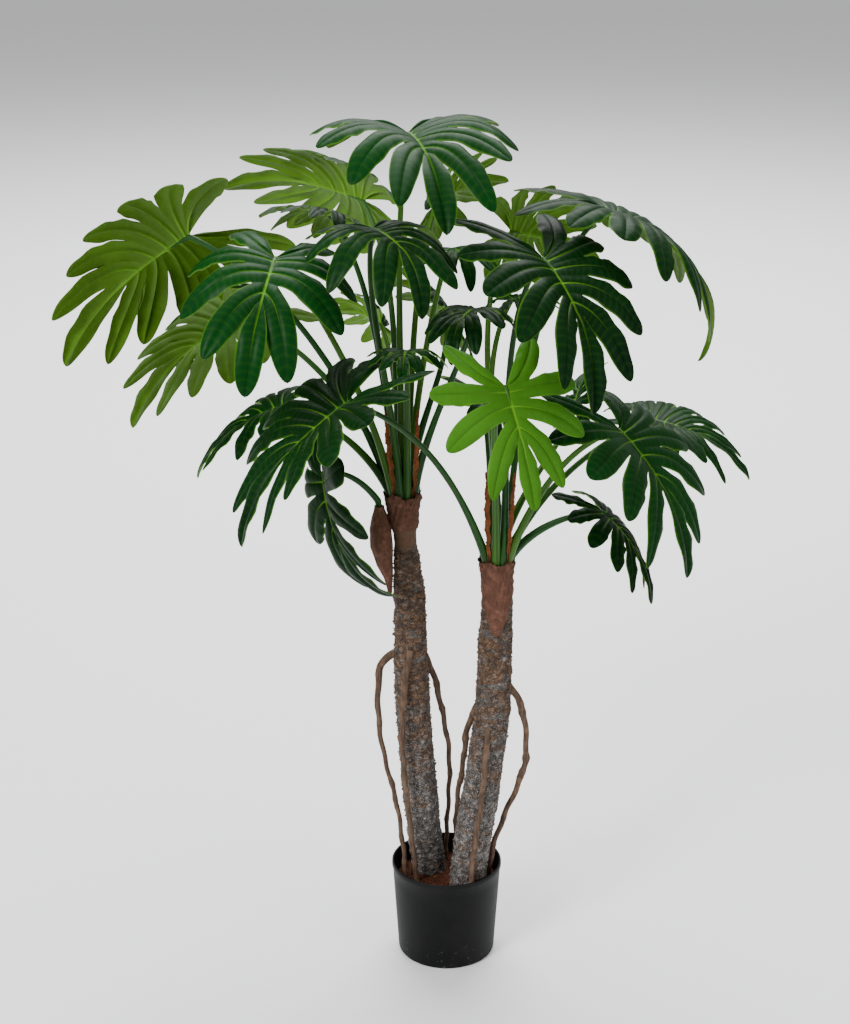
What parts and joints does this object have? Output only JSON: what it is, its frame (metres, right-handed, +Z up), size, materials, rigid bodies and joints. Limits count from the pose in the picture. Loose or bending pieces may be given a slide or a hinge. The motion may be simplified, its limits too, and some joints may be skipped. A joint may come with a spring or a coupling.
{
  "type": "potted philodendron selloum",
  "caption": "Tall potted foliage plant with slim bark trunks, a crown of long stalks with deeply lobed glossy leaves, and a plain black nursery pot that stands on its flat base.",
  "frame": {"origin": "centre of the pot's flat underside, on the surface that the plant stands on", "axes": "+Z up along the trunks, +X to the right and -Y towards the viewer of the front, which is the side where the leaves and the frayed wraps face"},
  "size_m": [0.9883, 0.6176, 1.2935],
  "materials": {
    "leaf_green": "satin",
    "leaf_bright_green": "satin",
    "bark": "rough",
    "root_skin": "rough",
    "fibre_wrap": "rough",
    "papery_sheath": "matt",
    "soil_mix": "rough",
    "pot_plastic": "satin"
  },
  "bodies": {
    "root": {"pot": "pot_plastic", "soil": "soil_mix", "trunk_left": "bark", "trunk_right": "bark", "root_left_side": "root_skin", "root_left_front": "root_skin", "root_left_back": "root_skin", "root_right_side": "root_skin", "root_right_front": "root_skin", "root_right_outer": "root_skin", "collar_left": "fibre_wrap", "wrap_right": "fibre_wrap", "pouch_left": "fibre_wrap", "sheath_left_front": "papery_sheath", "sheath_left_side": "papery_sheath", "sheath_right_front": "papery_sheath", "sheath_right_side": "papery_sheath", "leaf_far_left": "leaf_green", "leaf_low_far_left": "leaf_green", "leaf_left_front": "leaf_green", "leaf_top_back": "leaf_green", "leaf_top": "leaf_green", "leaf_upper_front": "leaf_green", "leaf_upper_left": "leaf_green", "leaf_mid_left": "leaf_green", "leaf_behind_mid_left": "leaf_green", "leaf_hanging": "leaf_green", "leaf_small_centre": "leaf_green", "leaf_centre_back": "leaf_green", "leaf_low_back": "leaf_green", "leaf_top_behind": "leaf_green", "leaf_upper_centre": "leaf_green", "leaf_bright_front": "leaf_bright_green", "leaf_inner_right": "leaf_green", "leaf_right_front": "leaf_green", "leaf_far_right": "leaf_green", "leaf_right_back": "leaf_green", "leaf_low_right": "leaf_green", "leaf_low_right_back": "leaf_green", "leaf_small_low_right": "leaf_green", "leaf_small_back": "leaf_green", "leaf_small_right_back": "leaf_green", "leaf_edge_on": "leaf_green"}
  },
  "joints": []
}
